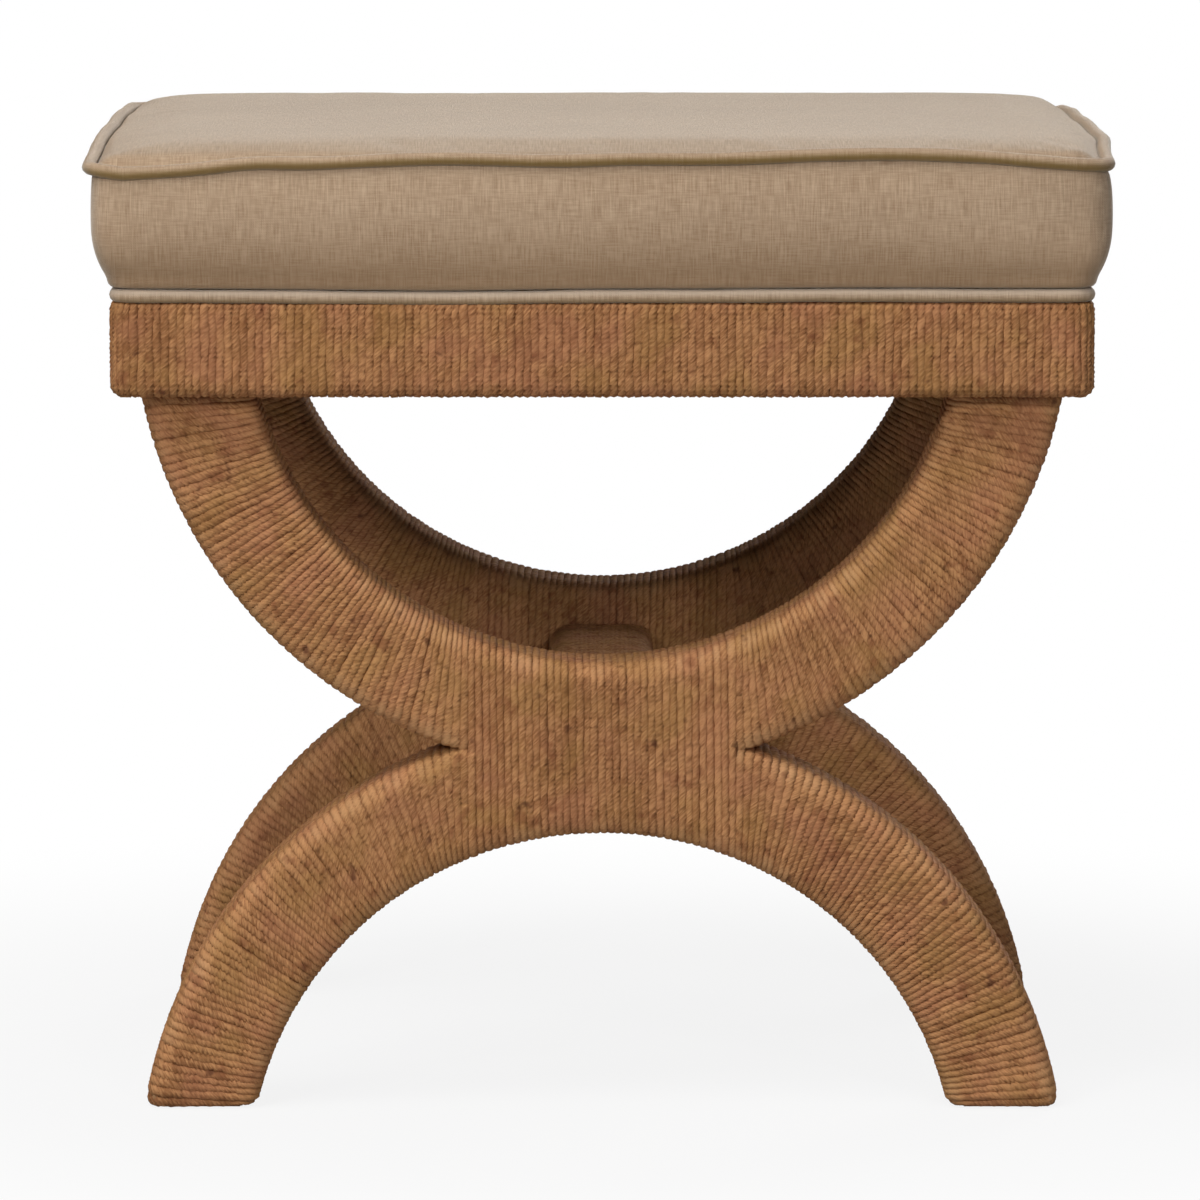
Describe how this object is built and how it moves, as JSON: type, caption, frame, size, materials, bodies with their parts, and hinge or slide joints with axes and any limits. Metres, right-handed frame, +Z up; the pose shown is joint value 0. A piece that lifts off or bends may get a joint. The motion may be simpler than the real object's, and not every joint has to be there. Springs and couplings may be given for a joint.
{
  "type": "upholstered stool",
  "caption": "X-frame stool: crossed curved legs wound with natural twisted cord, a cord-wound stretcher and apron, and a linen box cushion with piped seams.",
  "frame": {"origin": "on the floor under the middle of the seat", "axes": "+Z up, +X across the front to the viewer's right, -Y out of the front"},
  "size_m": [0.4788, 0.4198, 0.4615],
  "materials": {
    "frame_wood": "bare hardwood, hidden under the windings",
    "plywood": "bare plywood",
    "cord": "twisted natural fibre cord, matt with a slight sheen",
    "linen": "plain weave linen with slubs, matt",
    "foam": "open cell foam",
    "felt": "pressed felt",
    "dust_cloth": "thin non-woven cloth",
    "screw_steel": "plated"
  },
  "bodies": {
    "root": {"arm_screws": "screw_steel", "boxing_band": "linen", "deck_screws": "screw_steel", "dust_cover": "dust_cloth", "foam_core": "foam", "front_arc_dowels": "frame_wood", "front_centre_winding": "cord", "front_left_corner_block": "frame_wood", "front_left_foot_pad": "felt", "front_lower_arc": "frame_wood", "front_lower_left_winding": "cord", "front_lower_right_winding": "cord", "front_rail": "frame_wood", "front_rail_winding": "cord", "front_right_corner_block": "frame_wood", "front_right_foot_pad": "felt", "front_upper_arc": "frame_wood", "front_upper_left_winding": "cord", "front_upper_right_winding": "cord", "left_rail": "frame_wood", "left_rail_winding": "cord", "lower_welt": "linen", "rail_screws": "screw_steel", "rear_arc_dowels": "frame_wood", "rear_centre_winding": "cord", "rear_left_corner_block": "frame_wood", "rear_left_foot_pad": "felt", "rear_lower_arc": "frame_wood", "rear_lower_left_winding": "cord", "rear_lower_right_winding": "cord", "rear_rail": "frame_wood", "rear_rail_winding": "cord", "rear_right_corner_block": "frame_wood", "rear_right_foot_pad": "felt", "rear_upper_arc": "frame_wood", "rear_upper_left_winding": "cord", "rear_upper_right_winding": "cord", "right_rail": "frame_wood", "right_rail_winding": "cord", "seat_deck": "plywood", "stretcher": "frame_wood", "stretcher_screws": "screw_steel", "stretcher_winding": "cord", "top_panel": "linen", "top_welt": "linen"}
  },
  "joints": []
}
